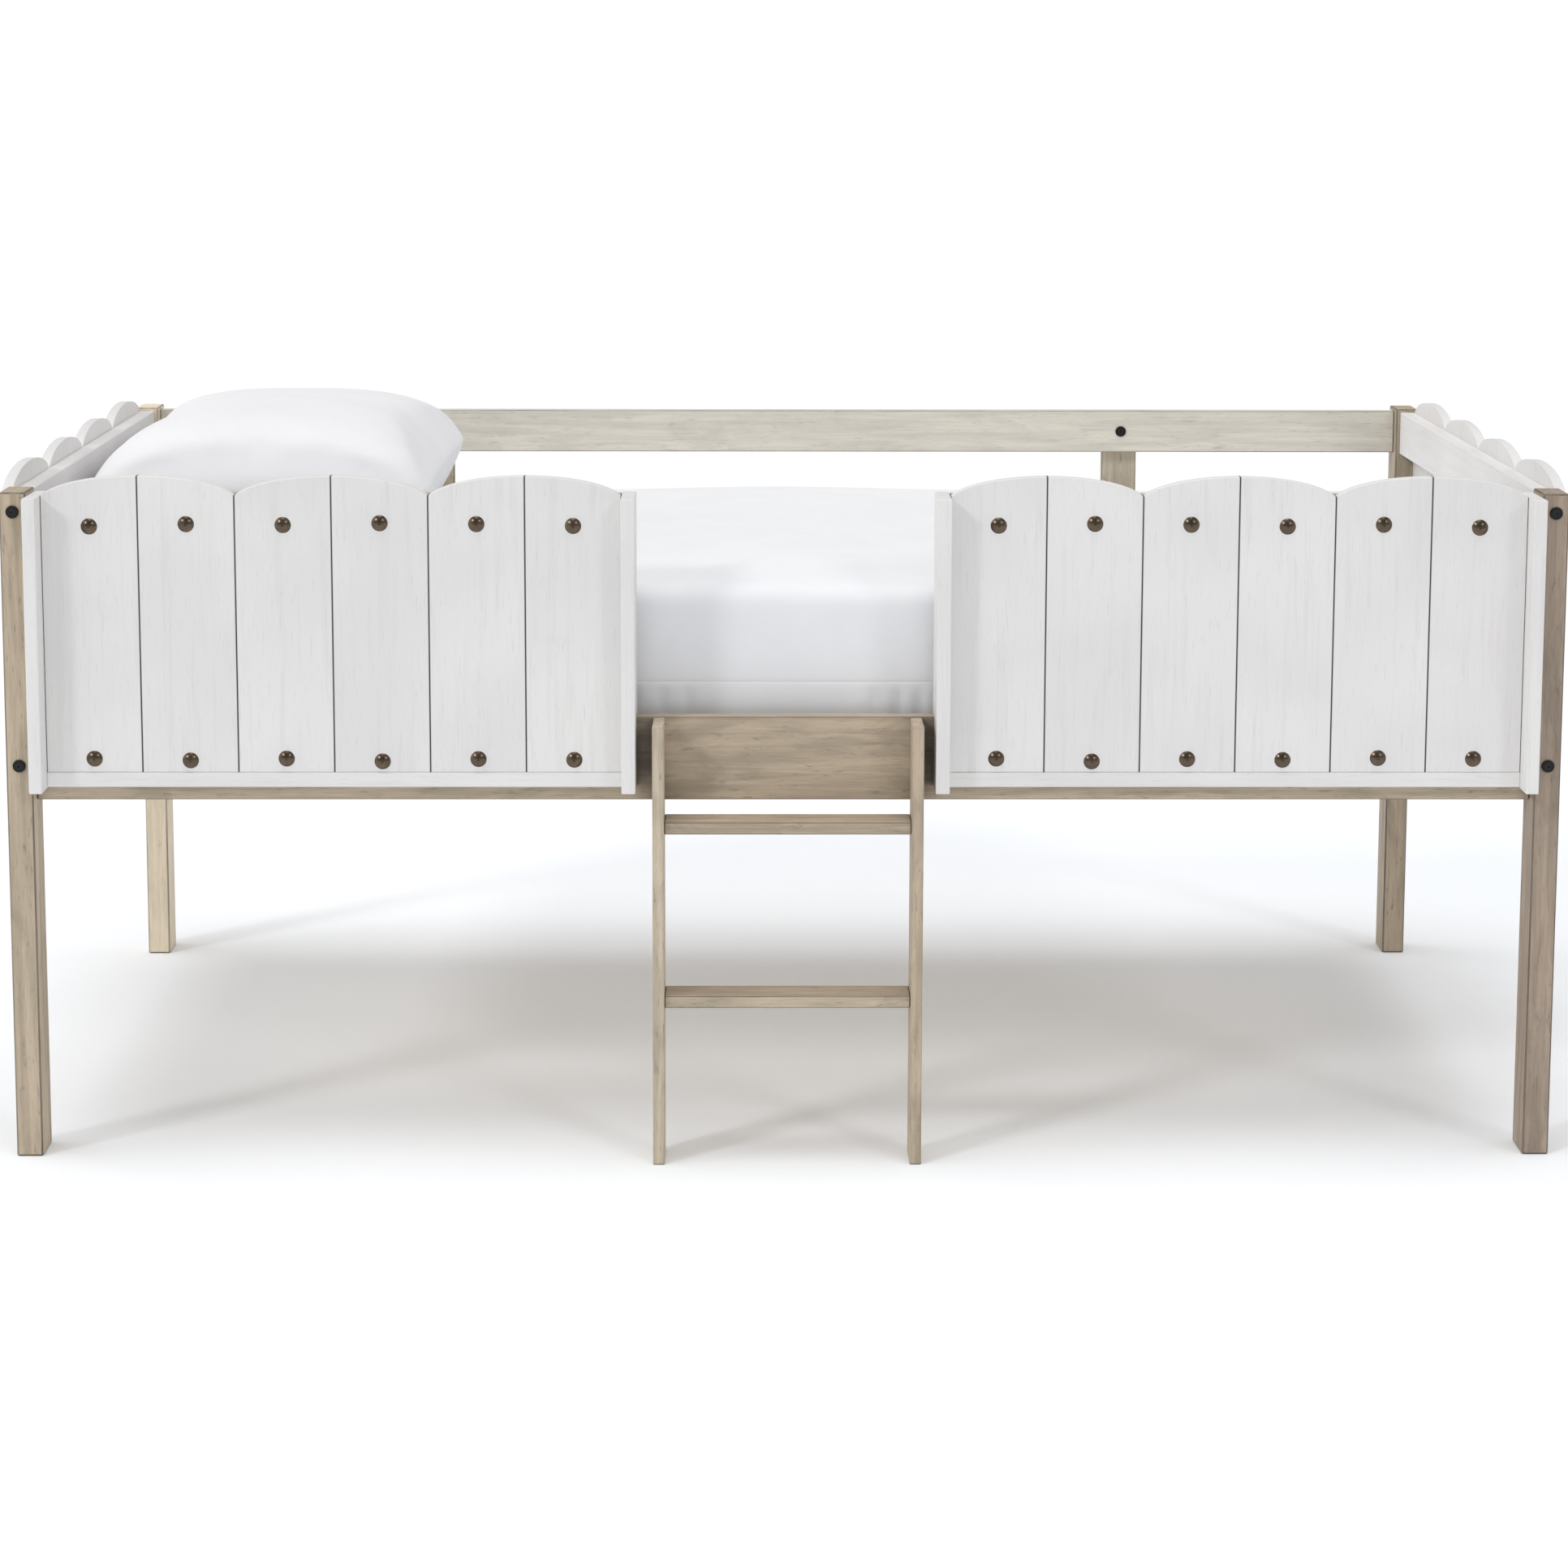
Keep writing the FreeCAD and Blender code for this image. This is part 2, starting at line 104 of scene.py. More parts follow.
class Graph:
    """Short names for building one material's nodes."""

    def __init__(self, name):
        self.material = bpy.data.materials.new(name)
        self.material.use_nodes = True
        self.tree = self.material.node_tree
        self.shader = self.tree.nodes["Principled BSDF"]

    def add(self, kind, **settings):
        node = self.tree.nodes.new(kind)
        for key, value in settings.items():
            setattr(node, key, value)
        return node

    def feed(self, socket, value):
        if isinstance(value, bpy.types.NodeSocket):
            self.tree.links.new(value, socket)
        else:
            socket.default_value = value

    def coords(self, scale=(1, 1, 1), offset=(0, 0, 0)):
        place = self.add("ShaderNodeTexCoord").outputs["Object"]
        mapping = self.add("ShaderNodeMapping")
        self.feed(mapping.inputs["Vector"], place)
        mapping.inputs["Scale"].default_value = scale
        mapping.inputs["Location"].default_value = offset
        return mapping.outputs["Vector"]

    def noise(self, vector, scale, detail=3.0, rough=0.55, distort=0.0):
        node = self.add("ShaderNodeTexNoise")
        self.feed(node.inputs["Vector"], vector)
        node.inputs["Scale"].default_value = scale
        node.inputs["Detail"].default_value = detail
        node.inputs["Roughness"].default_value = rough
        node.inputs["Distortion"].default_value = distort
        return node.outputs["Fac"]

    def math(self, operation, first, second=0.0, clamp=False):
        node = self.add("ShaderNodeMath", operation=operation, use_clamp=clamp)
        self.feed(node.inputs[0], first)
        self.feed(node.inputs[1], second)
        return node.outputs[0]

    def span(self, value, low, high, to_low=0.0, to_high=1.0):
        node = self.add("ShaderNodeMapRange", interpolation_type="SMOOTHSTEP")
        self.feed(node.inputs["Value"], value)
        node.inputs["From Min"].default_value = low
        node.inputs["From Max"].default_value = high
        node.inputs["To Min"].default_value = to_low
        node.inputs["To Max"].default_value = to_high
        return node.outputs["Result"]

    def mix(self, share, first, second, blend="MIX"):
        node = self.add("ShaderNodeMix", data_type="RGBA", blend_type=blend)
        self.feed(node.inputs["Factor"], share)
        self.feed(node.inputs["A"], first)
        self.feed(node.inputs["B"], second)
        return node.outputs["Result"]

    def bump(self, height, distance, strength=1.0, normal=None):
        node = self.add("ShaderNodeBump")
        self.feed(node.inputs["Height"], height)
        node.inputs["Distance"].default_value = distance
        node.inputs["Strength"].default_value = strength
        if normal is not None:
            self.feed(node.inputs["Normal"], normal)
        return node.outputs["Normal"]

    def arris(self, radius):
        """1 at an edge, falling to 0 at radius inside the faces beside it."""
        bevel = self.add("ShaderNodeBevel", samples=6)
        bevel.inputs["Radius"].default_value = radius
        geometry = self.add("ShaderNodeNewGeometry")
        dot = self.add("ShaderNodeVectorMath", operation="DOT_PRODUCT")
        self.feed(dot.inputs[0], bevel.outputs["Normal"])
        self.feed(dot.inputs[1], geometry.outputs["Normal"])
        return self.span(dot.outputs["Value"], 0.995, 0.90)

    def rounded(self):
        """0 on faces square to the axes, rising to 1 on the rounds between them."""
        split = self.add("ShaderNodeSeparateXYZ")
        self.feed(split.inputs[0], self.add("ShaderNodeNewGeometry").outputs["True Normal"])
        most = 0.0
        for axis in "XYZ":
            most = self.math("MAXIMUM", self.math("ABSOLUTE", split.outputs[axis]), most)
        return self.span(most, 0.995, 0.93)

    def painted_gap_shade(self, reach):
        """1 in the open, falling towards 0 deep in narrow gaps, for painting shade there."""
        node = self.add("ShaderNodeAmbientOcclusion", samples=8)
        node.inputs["Distance"].default_value = reach
        return node.outputs["AO"]

    def finish(self, color, roughness, normal=None, **shader):
        self.feed(self.shader.inputs["Base Color"], color)
        self.feed(self.shader.inputs["Roughness"], roughness)
        if normal is not None:
            self.feed(self.shader.inputs["Normal"], normal)
        for name, value in shader.items():
            self.shader.inputs[name.replace("_", " ")].default_value = value
        return self.material


GRAIN_SHRINK = 0.05                    # how far the grain is drawn out along a board


def grain_scale(along, shrink=GRAIN_SHRINK):
    return tuple(shrink if axis == along else 1.0 for axis in "XYZ")


# ---------------------------------------------------------------- materials

DARK_CUT = (166, 149, 132)              # cuts of stained wood, as display colours
MIDDLE_CUT = (191, 175, 152)
PALE_CUT = (222, 213, 196)
PALEST_POST_COLOUR = (240, 225, 200)             # the rear-left post's colour, paler than every other board
GREY_CUT = (226, 221, 208)              # the rear guard rail


def shade_of(color, share):
    """A display colour made lighter or darker."""
    return srgb(*[max(0, min(255, channel * share)) for channel in color])


def between(first, second, share):
    return tuple(a + (b - a) * share for a, b in zip(first, second))


def cut_of(tone):
    """Colour of a board: a cut itself, or a tone from 0, dark, to 1, pale."""
    if isinstance(tone, tuple):
        return tone
    if tone < 0.5:
        return between(DARK_CUT, MIDDLE_CUT, tone * 2)
    return between(MIDDLE_CUT, PALE_CUT, tone * 2 - 1)


def driftwood(name, along, seed, tone, contrast=1.0, square=True):
    """Greige-stained wood, wire brushed, with darker arrises, partly wear and partly painted shade, and
    painted shade in narrow gaps. contrast is how much the grain shows, and square is for a board
    whose faces are all square to the axes."""
    cut = cut_of(tone)
    g = Graph(name)
    place = g.coords(grain_scale(along), (seed * 1.7, seed * 2.3, seed * 3.1))
    streak = g.noise(place, 85, 5, 0.62, 0.7)
    fibre = g.noise(place, 620, 3, 0.6)
    broad = g.noise(g.coords(grain_scale(along, 0.35), (seed, seed, seed)), 20, 4, 0.62, 0.9)
    color = g.mix(g.span(streak, 0.34, 0.66), shade_of(cut, 1 - 0.09 * contrast),
                  shade_of(cut, 1 + 0.05 * contrast))
    color = g.mix(g.span(fibre, 0.52, 0.72, 0.0, 0.34 * contrast), color, shade_of(cut, 0.72))
    color = g.mix(g.span(broad, 0.46, 0.68, 0.0, 0.55 * contrast), color, shade_of(cut, 0.82))
    pores = g.noise(g.coords(grain_scale(along, 0.16), (seed, 0, seed)), 230, 3, 0.6, 0.5)
    color = g.mix(g.span(pores, 0.58, 0.72, 0.0, 0.5 * contrast), color, shade_of(cut, 0.62))
    # Painted shade: the wood darkens towards deep brown in narrow gaps and corners, where shade falls.
    painted_gap_shade = g.painted_gap_shade(0.07)
    color = g.mix(g.span(painted_gap_shade, 0.50, 0.14, 0.0, 0.85), color, shade_of(cut, 0.24))
    # Darker arrises: partly wear, partly painted shade along the edges.
    edge = g.rounded() if square else g.arris(0.0035)
    worn_and_shaded_edge = g.math("MULTIPLY", edge, g.span(streak, 0.3, 0.7, 0.45, 1.0))
    color = g.mix(g.math("MULTIPLY", worn_and_shaded_edge, 0.9), color, shade_of(cut, 0.46))
    relief = g.math("ADD", g.math("MULTIPLY", fibre, 0.6), g.math("MULTIPLY", streak, 0.4))
    return g.finish(color, g.span(streak, 0.2, 0.8, 0.62, 0.48), g.bump(relief, 0.0005, 0.5),
                    Specular_IOR_Level=0.35)


def white_paint(name, along, seed, joints=None):
    """White paint brushed over grained wood, thin enough for the grain to show through.
    joints is the axis, low and high place of a plank's two long edges, where a dark line is drawn: partly
    the glaze gathered in the groove, partly painted shade of the groove between planks."""
    g = Graph(name)
    place = g.coords(grain_scale(along), (seed * 1.9, seed * 1.3, seed * 2.7))
    streak = g.noise(place, 110, 4, 0.6, 0.3)
    fibre = g.noise(place, 700, 2, 0.6)
    broad = g.noise(g.coords((1, 1, 1), (seed, seed * 2, seed)), 5.0, 2, 0.5)
    color = g.mix(g.span(broad, 0.3, 0.7), srgb(232, 231, 229), srgb(226, 224, 223))
    color = g.mix(g.span(streak, 0.48, 0.75, 0.0, 0.5), color, srgb(219, 214, 211))
    color = g.mix(g.span(fibre, 0.6, 0.74, 0.0, 0.35), color, srgb(202, 194, 188))
    # Slightly darker paint along every edge: painted shade, like that in the grooves between planks.
    color = g.mix(g.math("MULTIPLY", g.arris(0.0028), 0.3), color, srgb(196, 190, 184))
    if joints is not None:
        axis, low, high = joints
        split = g.add("ShaderNodeSeparateXYZ")
        g.feed(split.inputs[0], g.coords())
        across = split.outputs[axis]
        middle = g.math("SUBTRACT", across, (low + high) / 2)
        inset = g.math("SUBTRACT", (high - low) / 2, g.math("ABSOLUTE", middle))
        # Dark line at the plank's long edges: painted shade of the groove between planks, over the glaze
        # that gathers there.
        color = g.mix(g.span(inset, 0.0013, 0.0004, 0.0, 0.9), color, srgb(92, 84, 80))
    relief = g.math("ADD", g.math("MULTIPLY", fibre, 0.5), g.math("MULTIPLY", streak, 0.5))
    return g.finish(color, g.span(streak, 0.2, 0.8, 0.42, 0.55), g.bump(relief, 0.0004, 0.35),
                    Specular_IOR_Level=0.4)


def bare_pine(name, along, seed):
    """Unstained slat timber."""
    g = Graph(name)
    place = g.coords(grain_scale(along), (seed, seed, seed))
    streak = g.noise(place, 60, 4, 0.6, 0.5)
    fibre = g.noise(place, 600, 2, 0.5)
    color = g.mix(g.span(streak, 0.35, 0.68), srgb(226, 202, 162), srgb(200, 166, 118))
    color = g.mix(g.span(fibre, 0.55, 0.75, 0.0, 0.35), color, srgb(172, 134, 90))
    return g.finish(color, 0.62, g.bump(fibre, 0.0003, 0.4))


def antique_bronze():
    """Dark bronze nail heads, rubbed bright in spots."""
    g = Graph("antique_bronze")
    mottle = g.noise(g.coords(), 110, 2, 0.5)
    color = g.mix(g.span(mottle, 0.35, 0.7), srgb(84, 70, 55), srgb(98, 82, 65))
    # Darker rim round each head: painted shade at the dome's edge.
    color = g.mix(g.math("MULTIPLY", g.arris(0.0016), 0.6), color, srgb(52, 42, 33))
    return g.finish(color, g.span(mottle, 0.3, 0.7, 0.27, 0.33), g.bump(mottle, 0.00005, 0.1),
                    Metallic=1.0, Coat_Weight=0.6, Coat_Roughness=0.22)


def dark_steel():
    """Black-finished furniture bolts."""
    g = Graph("dark_steel")
    mottle = g.noise(g.coords(), 900, 3, 0.6)
    color = g.mix(g.span(mottle, 0.35, 0.7), srgb(18, 18, 20), srgb(32, 31, 33))
    # Lighter grey along the heads' edges and socket rims: a painted highlight.
    color = g.mix(g.math("MULTIPLY", g.arris(0.0012), 0.6), color, srgb(104, 102, 104))
    return g.finish(color, g.span(mottle, 0.3, 0.7, 0.28, 0.42), g.bump(mottle, 0.0001, 0.3),
                    Metallic=0.5)


def zinc_steel():
    """Plated screws and barrel nuts."""
    g = Graph("zinc_steel")
    mottle = g.noise(g.coords(), 700, 3, 0.6)
    color = g.mix(g.span(mottle, 0.35, 0.7), srgb(176, 176, 172), srgb(205, 205, 200))
    return g.finish(color, g.span(mottle, 0.3, 0.7, 0.28, 0.42), g.bump(mottle, 0.0001, 0.3),
                    Metallic=0.9)


def woven(name, pale, shade, thread, crease):
    """Plain-weave cotton: threads thread metres apart, with soft creases."""
    g = Graph(name)
    place = g.add("ShaderNodeTexCoord").outputs["Object"]
    weave = None
    for direction in ("X", "Y", "Z"):
        wave = g.add("ShaderNodeTexWave", wave_type="BANDS", bands_direction=direction)
        g.feed(wave.inputs["Vector"], place)
        wave.inputs["Scale"].default_value = 0.314 / thread
        wave.inputs["Distortion"].default_value = 0.6
        wave.inputs["Detail"].default_value = 1.0
        line = wave.outputs["Fac"]
        weave = line if weave is None else g.math("ADD", weave, line)
    soft = g.noise(place, 9, 3, 0.55, 0.5)
    slub = g.noise(place, 380, 2, 0.6)
    color = g.mix(g.span(soft, 0.3, 0.72), pale, shade)
    color = g.mix(g.span(slub, 0.55, 0.8, 0.0, 0.35), color, shade)
    fine = g.bump(weave, thread * 0.25, 0.25)
    return g.finish(color, 0.88, g.bump(soft, crease, 0.6, fine), Sheen_Weight=0.25,
                    Sheen_Roughness=0.5, Specular_IOR_Level=0.25)


def studio_floor():
    """Plain pale floor."""
    g = Graph("studio_floor")
    tone = g.noise(g.coords(), 1.2, 2, 0.5)
    color = g.mix(tone, srgb(241, 244, 248), srgb(243, 246, 250))
    return g.finish(color, 0.9, Specular_IOR_Level=0.1, Emission_Color=(1, 1, 1, 1),
                    Emission_Strength=FLOOR_GLOW)


# ---------------------------------------------------------------- CAD nodes' finishes

def dress(node, material):
    """Give a CAD node a new finish."""
    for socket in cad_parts[node].material_slots:
        socket.material = material


BOARD_TONES = {                         # how pale each board is, from 0 to 1, or its own colour
    "post_front_left": 0.48, "post_front_right": 0.0, "post_rear_left": PALEST_POST_COLOUR,
    "post_rear_right": 0.36, "side_rail_front": 0.40, "guard_rail_rear": GREY_CUT,
    "rear_upright_left": 0.6, "rear_upright_right": 0.75, "ladder_leg_left": 0.62, "ladder_leg_right": 0.44,
    "ladder_rung_upper": 0.35, "ladder_rung_lower": 0.56}
PLAIN_TONE = 0.45                       # boards that aren't named above
QUIET_BOARDS = ("guard_rail_rear", "post_rear_left")
QUIET_CONTRAST = 0.5


def dress_frame():
    """Each board gets its own cut of wood, with the grain along its length."""
    bronze = antique_bronze()
    black = dark_steel()
    zinc = zinc_steel()
    for seed, node in enumerate(sorted(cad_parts)):
        if node in ("mattress", "pillow"):
            continue
        low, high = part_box(node)
        size = high - low
        along = "XYZ"[max(range(3), key=lambda axis: size[axis])]
        if node == "dome_nails":
            dress(node, bronze)
        elif node.endswith("_bolts"):
            dress(node, black)
        elif node.endswith("_screws") or node == "barrel_nuts":
            dress(node, zinc)
        elif node == "slats":
            dress(node, bare_pine("pine_slats", "Y", seed))
        elif node.startswith("slat_ledger"):
            dress(node, bare_pine(f"pine_{node}", "X", seed))
        elif node == "slat_webbing":
            dress(node, woven("strap_weave", srgb(226, 222, 212), srgb(204, 199, 187), 0.0012, 0.0002))
        elif node.startswith("front_plank"):
            dress(node, white_paint(f"white_{node}", "Z", seed, ("X", low.x, high.x)))
        elif node.startswith(("end_scallop", "stile")):
            dress(node, white_paint(f"white_{node}", "Z", seed))
        elif node.startswith(("ledge", "end_rail_upper")):
            dress(node, white_paint(f"white_{node}", along, seed))
        else:
            tone = BOARD_TONES.get(node, PLAIN_TONE)
            contrast = QUIET_CONTRAST if node in QUIET_BOARDS else 1.0
            square = not node.startswith("ladder_leg")
            dress(node, driftwood(f"driftwood_{node}", along, seed, tone, contrast, square))


# ---------------------------------------------------------------- soft goods

def rounded_box(name, low, high, radius, cell):
    """Closed grid box with rounded edges and corners."""
    size = high - low
    middle = (low + high) / 2
    bm = bmesh.new()
    bmesh.ops.create_cube(bm, size=1.0)
    counts = [max(2, round(length / cell)) for length in size]
    for axis, count in enumerate(counts):
        for step in range(1, count):
            normal = Vector([1.0 if a == axis else 0.0 for a in range(3)])
            geometry = bm.verts[:] + bm.edges[:] + bm.faces[:]
            bmesh.ops.bisect_plane(bm, geom=geometry, plane_co=normal * (step / count - 0.5),
                                   plane_no=normal)
    core = size / 2 - Vector((radius, radius, radius))
    for vert in bm.verts:
        point = Vector([vert.co[a] * size[a] for a in range(3)])
        inner = Vector([max(-core[a], min(core[a], point[a])) for a in range(3)])
        out = point - inner
        if out.length > 1e-9:
            point = inner + out.normalized() * radius
        vert.co = middle + point
    return to_object(bm, name)


def to_object(bm, name):
    mesh = bpy.data.meshes.new(name)
    bm.to_mesh(mesh)
    bm.free()
    made = bpy.data.objects.new(name, mesh)
    bpy.context.collection.objects.link(made)
    return made


def shade_smooth(obj):
    obj.data.polygons.foreach_set("use_smooth", [True] * len(obj.data.polygons))


def swell(obj, pressure, cap, frames, tension=25.0, bending=2.0, spare=0.0, calm=0):
    """Inflate obj as cloth, let no point move further than cap, and keep the result as its mesh.
    spare is how much more cloth there is than the start shape, and calm how often the moves are
    averaged."""
    start = [vert.co.copy() for vert in obj.data.vertices]
    cloth = obj.modifiers.new("swell", "CLOTH")
    settings = cloth.settings
    settings.use_pressure = True
    settings.uniform_pressure_force = pressure
    settings.effector_weights.gravity = 0.0
    settings.tension_stiffness = tension
    settings.compression_stiffness = tension
    settings.bending_stiffness = bending
    settings.shrink_min = -spare
    settings.quality = 6
    cloth.point_cache.frame_start = 1
    cloth.point_cache.frame_end = frames
    scene = bpy.context.scene
    for step in range(1, frames + 1):
        scene.frame_set(step)
    graph = bpy.context.evaluated_depsgraph_get()
    settled = bpy.data.meshes.new_from_object(obj.evaluated_get(graph))
    obj.modifiers.remove(cloth)
    moves = []
    for was, now in zip(start, settled.vertices):
        move = now.co - was
        if move.length > cap:
            move *= cap / move.length
        moves.append(move)
    bpy.data.meshes.remove(settled)
    for _ in range(calm):
        moves = averaged(obj.data, moves)
    for vert, was, move in zip(obj.data.vertices, start, moves):
        vert.co = was + move
    scene.frame_set(1)


def averaged(mesh, moves):
    """Each vertex's move, averaged with those of its neighbours along the edges."""
    total = [move.copy() for move in moves]
    count = [1] * len(moves)
    for edge in mesh.edges:
        a, b = edge.vertices
        total[a] += moves[b]
        total[b] += moves[a]
        count[a] += 1
        count[b] += 1
    return [share / number for share, number in zip(total, count)]


def smooth_once(obj, levels=1):
    modifier = obj.modifiers.new("finer", "SUBSURF")
    modifier.levels = levels
    modifier.render_levels = levels
    graph = bpy.context.evaluated_depsgraph_get()
    finer = bpy.data.meshes.new_from_object(obj.evaluated_get(graph))
    obj.modifiers.remove(modifier)
    old = obj.data
    obj.data = finer
    bpy.data.meshes.remove(old)


def ease(value, low, high):
    """Smooth step from 0 at low to 1 at high."""
    share = max(0.0, min(1.0, (value - low) / (high - low)))
    return share * share * (3 - 2 * share)


def cut_level(obj, heights):
    """Cut obj's mesh through at each height."""
    bm = bmesh.new()
    bm.from_mesh(obj.data)
    for height in heights:
        geometry = bm.verts[:] + bm.edges[:] + bm.faces[:]
        bmesh.ops.bisect_plane(bm, geom=geometry, plane_co=(0, 0, height), plane_no=(0, 0, 1))
    bm.to_mesh(obj.data)
    bm.free()


def make_mattress():
    """Mattress in a fitted sheet: crowned top, hem seam, and gathers below the seam."""
    low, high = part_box("mattress")
    inset = Vector((MATTRESS_INSET, MATTRESS_INSET, MATTRESS_INSET))
    made = rounded_box("mattress_in_sheet", low + inset, high - inset, MATTRESS_ROUND, MATTRESS_CELL)
    swell(made, pressure=4.0, cap=MATTRESS_CAP, frames=20, calm=8)
    smooth_once(made)
    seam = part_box("side_rail_front")[1].z + HEM_SEAM_ABOVE_RAIL
    cut_level(made, [seam + step * HEM_SEAM_STEP for step in (-2, -1, 0, 1, 2)])
    middle = (low + high) / 2
    half = (high - low) / 2
    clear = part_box("pillow")[1].x + PILLOW_CLEAR
    for vert in made.data.vertices:
        place = vert.co
        side_x = (place.x - middle.x) / half.x
        side_y = (place.y - middle.y) / half.y
        lift = ease(place.z, middle.z, high.z)
        hump = CROWN_MIDDLE * math.exp(-(place.x / CROWN_REACH) ** 2)
        crown = (CROWN_ALL_OVER + hump) * (1 - side_x ** 2)
        if side_y < 0:
            place.z += lift * (crown * (1 - side_y ** 4) - FRONT_DROP * side_y ** 8)
        else:
            place.z += lift * crown * (1 - 0.4 * side_y ** 4)
        outward = Vector((side_x ** 9, side_y ** 9, 0))
        below = ease(seam - place.z, 0.0, 0.06)
        line = math.exp(-((place.z - seam) / HEM_SEAM_WIDTH) ** 2)
        run = place.x if abs(side_y) > abs(side_x) else place.y
        gather = 0.12 + 0.88 * ease(abs(run), 0.07, 0.15)
        phase = run * PLEAT_TURN + 4 * noise.noise(Vector((run * 11, 4.2, 0)))
        pleat = max(0.0, math.sin(phase)) ** 2 * gather * ease(seam - place.z, 0.002, 0.02)
        wrinkle = noise.noise(Vector((place.x * 5, place.y * 5, place.z * 2.5))) * WRINKLE
        hem = below * HEM_STANDS_OUT - line * HEM_SEAM_DEPTH - pleat * PLEAT_DEPTH
        place += outward * (wrinkle + hem)
        place.z += noise.noise(Vector((place.x * 2.3, place.y * 4.1, 9.1))) * WRINKLE * lift
        room = high.z - 0.0008 + 0.016 * ease(place.x, clear, clear + 0.2)
        place.z = min(place.z, room)    # the pillow lies on the mattress, not in it
    shade_smooth(made)
    made.data.materials.append(woven("sheet_cotton", srgb(239, 240, 242), srgb(236, 237, 240),
                                     0.0006, 0.0012))
    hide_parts("mattress")
    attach(made, "mattress_body")


def pillow_case(name, low, high, cell):
    """Plump pillow: two crowned panels sewn round the edge, the lower one flat where it rests."""
    size = high - low
    middle = (low + high) / 2
    seam = low.z + size.z * PILLOW_SEAM
    across = max(2, round(size.x / cell))
    along = max(2, round(size.y / cell))
    bm = bmesh.new()
    layers = []
    for side in (1, -1):
        grid = []
        for i in range(across + 1):
            row = []
            for j in range(along + 1):
                u = math.sin(math.pi / 2 * (2 * i / across - 1))
                v = math.sin(math.pi / 2 * (2 * j / along - 1))
                row.append(pillow_point(u, v, side, middle, size, seam))
            grid.append(row)
        layers.append(grid)
    verts = []
    for grid, side in zip(layers, (1, -1)):
        made = []
        for i in range(across + 1):
            row = []
            for j in range(along + 1):
                if side < 0 and (i in (0, across) or j in (0, along)):
                    row.append(verts[0][i][j])
                else:
                    row.append(bm.verts.new(grid[i][j]))
            made.append(row)
        verts.append(made)
        for i in range(across):
            for j in range(along):
                quad = [made[i][j], made[i + 1][j], made[i + 1][j + 1], made[i][j + 1]]
                bm.faces.new(quad if side > 0 else quad[::-1])
    return to_object(bm, name)


def pillow_point(u, v, side, middle, size, seam):
    """Place on the top (side 1) or bottom (side -1) panel; u and v run from -1 to 1."""
    low = middle.z - size.z / 2
    pull_x = 1 - 0.026 * (1 - v * v)        # the sides pull in between the corners
    pull_y = 1 - 0.030 * (1 - u * u)
    round_x = math.sqrt(1 - 0.13 * abs(v) ** 12)
    round_y = math.sqrt(1 - 0.10 * abs(u) ** 12)
    x = middle.x + u * size.x / 2 * pull_x * round_x
    y = middle.y + v * size.y / 2 * pull_y * round_y
    plump = (1 - abs(u) ** 3.2) ** 0.66 * (1 - abs(v) ** 4.5) ** 0.62
    if side > 0:
        z = seam + (low + size.z - seam) * plump
    else:
        z = max(low, seam - (seam - low) * 1.5 * plump)
    return Vector((x, y, z))


def make_pillow():
    """Pillow laid across the head of the mattress, filled out under air pressure."""
    low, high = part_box("pillow")
    inset = Vector((PILLOW_INSET, PILLOW_INSET, 0))
    made = pillow_case("pillow_in_case", low + inset, high - inset - Vector((0, 0, PILLOW_INSET)),
                       PILLOW_CELL)
    swell(made, pressure=3.0, cap=PILLOW_CAP, frames=24, tension=8.0, bending=1.2,
          spare=0.035, calm=2)
    smooth_once(made)
    for vert in made.data.vertices:
        vert.co.z = max(low.z, vert.co.z)
    shade_smooth(made)
    made.data.materials.append(woven("pillow_cotton", srgb(238, 238, 241), srgb(235, 235, 238),
                                     0.0006, 0.0015))
    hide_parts("pillow")
    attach(made, "pillow_body")


# ---------------------------------------------------------------- studio

def make_floor():
    bm = bmesh.new()
    bmesh.ops.create_grid(bm, x_segments=1, y_segments=1, size=FLOOR_REACH)
    floor = to_object(bm, "studio_floor")
    floor.data.materials.append(studio_floor())


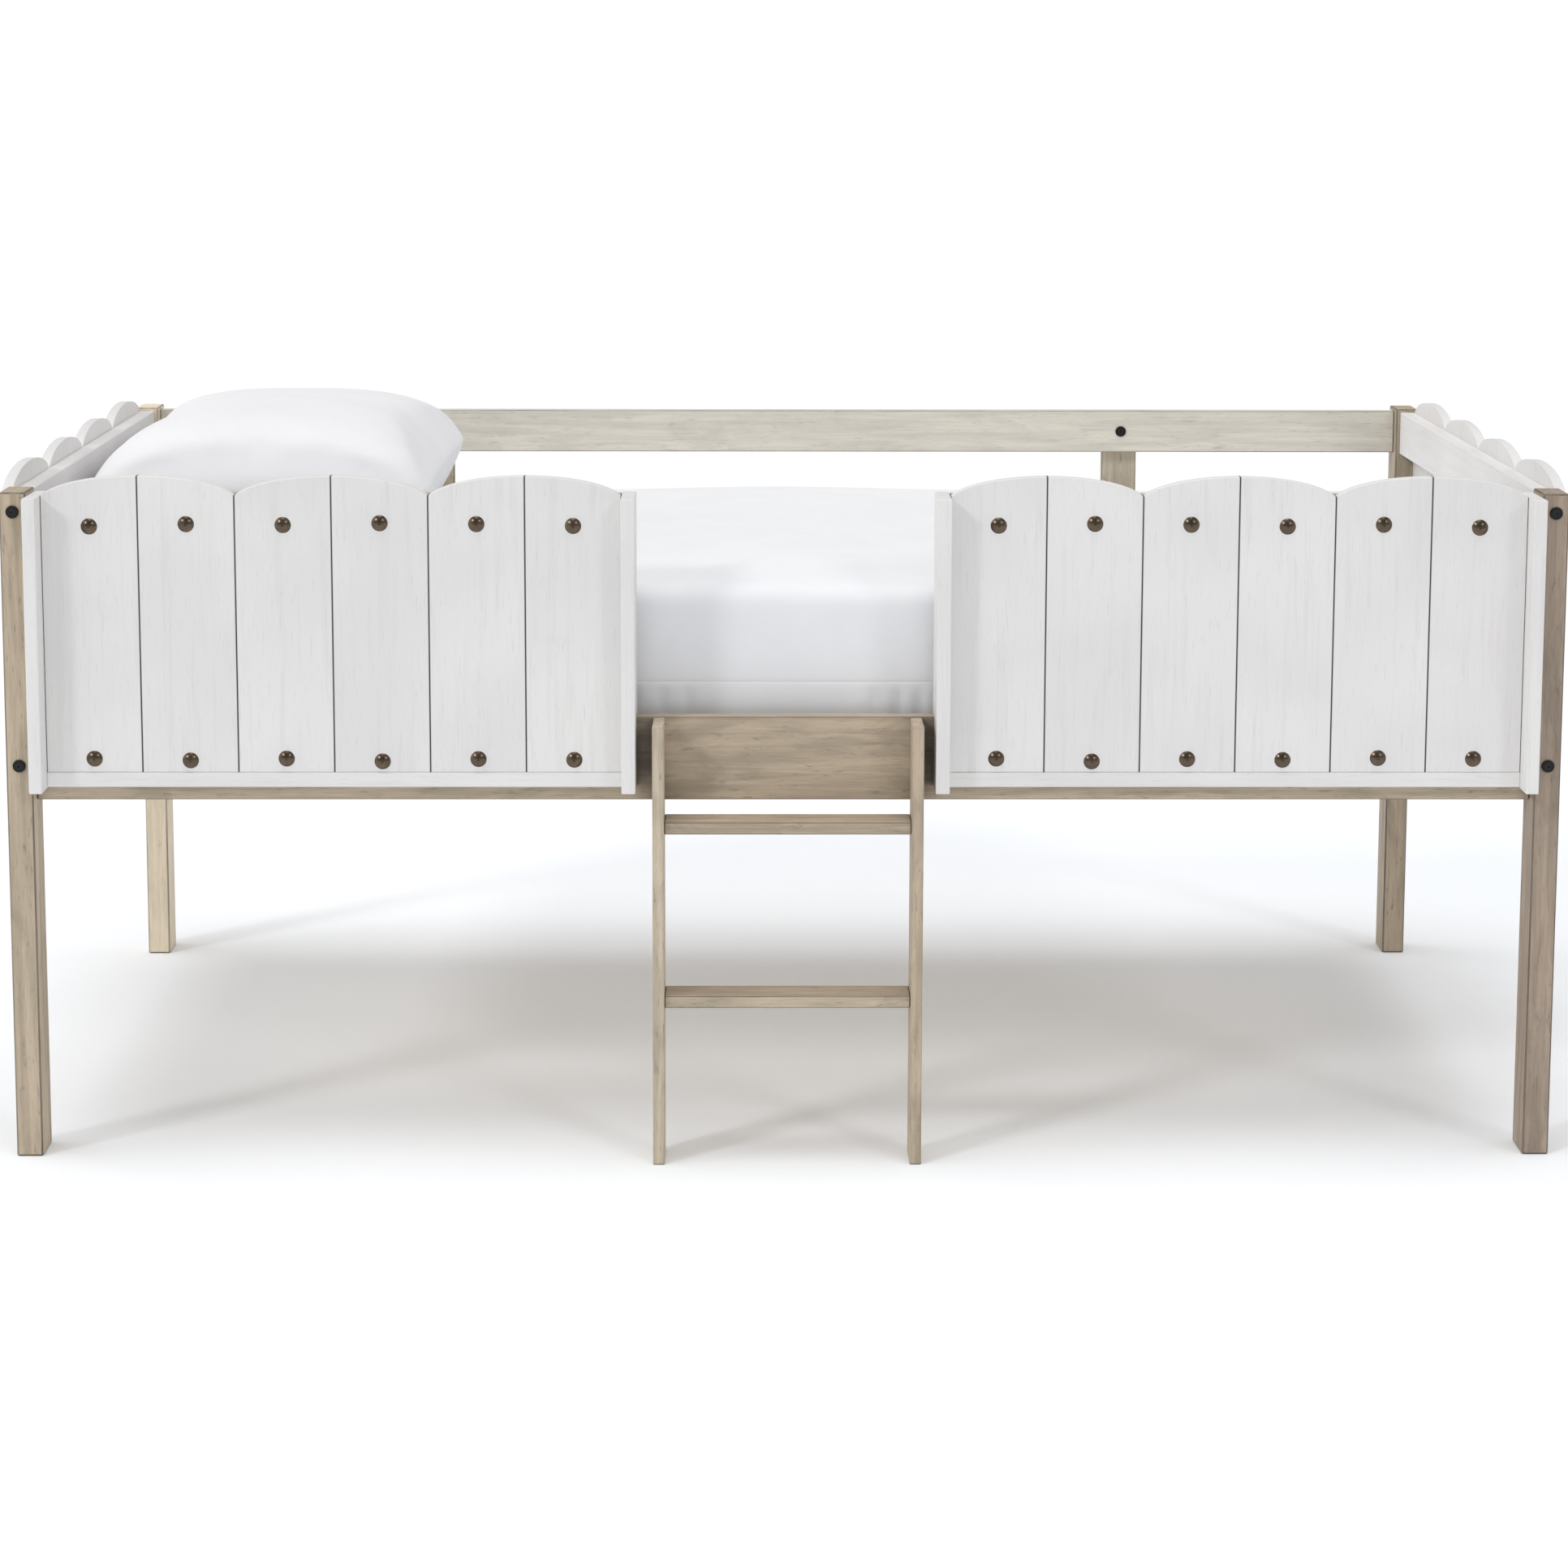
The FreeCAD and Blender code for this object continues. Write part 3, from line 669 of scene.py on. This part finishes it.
def make_sun(name, strength, angle, elevation, azimuth):
    """Soft sun: azimuth 0 comes from the front, positive from +X."""
    light = bpy.data.lights.new(name, "SUN")
    light.energy = strength
    light.angle = math.radians(angle)
    made = bpy.data.objects.new(name, light)
    bpy.context.collection.objects.link(made)
    high = math.radians(elevation)
    turn = math.radians(azimuth)
    towards = Vector((math.sin(turn) * math.cos(high), -math.cos(turn) * math.cos(high),
                      math.sin(high)))
    made.rotation_mode = "QUATERNION"
    made.rotation_quaternion = towards.to_track_quat("Z", "Y")


def make_light():
    """Even sky, a white backdrop that only the view sees, and five soft suns."""
    world = bpy.data.worlds.new("studio")
    bpy.context.scene.world = world
    world.use_nodes = True
    nodes = world.node_tree.nodes
    links = world.node_tree.links
    sky = nodes["Background"]
    sky.inputs["Color"].default_value = (1, 1, 1, 1)
    sky.inputs["Strength"].default_value = SKY_STRENGTH
    white = nodes.new("ShaderNodeBackground")
    white.inputs["Color"].default_value = (1, 1, 1, 1)
    white.inputs["Strength"].default_value = BACKDROP_STRENGTH
    pick = nodes.new("ShaderNodeMixShader")
    path = nodes.new("ShaderNodeLightPath")
    links.new(path.outputs["Is Camera Ray"], pick.inputs["Fac"])
    links.new(sky.outputs["Background"], pick.inputs[1])
    links.new(white.outputs["Background"], pick.inputs[2])
    links.new(pick.outputs["Shader"], nodes["World Output"].inputs["Surface"])
    for name, aim in SUNS.items():
        make_sun(name, *aim)
    bpy.context.scene.view_settings.view_transform = "Standard"


def make_camera():
    """The photograph's viewing angle."""
    data = bpy.data.cameras.new("camera")
    data.lens = CAMERA_LENS
    data.sensor_width = SENSOR_WIDTH
    data.shift_y = CAMERA_SHIFT_Y
    camera = bpy.data.objects.new("camera", data)
    bpy.context.collection.objects.link(camera)
    turn = Matrix.Rotation(-CAMERA_YAW, 4, "Z") @ Matrix.Rotation(math.pi / 2 - CAMERA_PITCH, 4, "X")
    roll = Matrix.Rotation(CAMERA_ROLL, 4, "Z")
    camera.matrix_world = Matrix.Translation(CAMERA_PLACE) @ turn @ roll
    bpy.context.scene.camera = camera


dress_frame()
make_mattress()
make_pillow()
make_floor()
make_light()
make_camera()
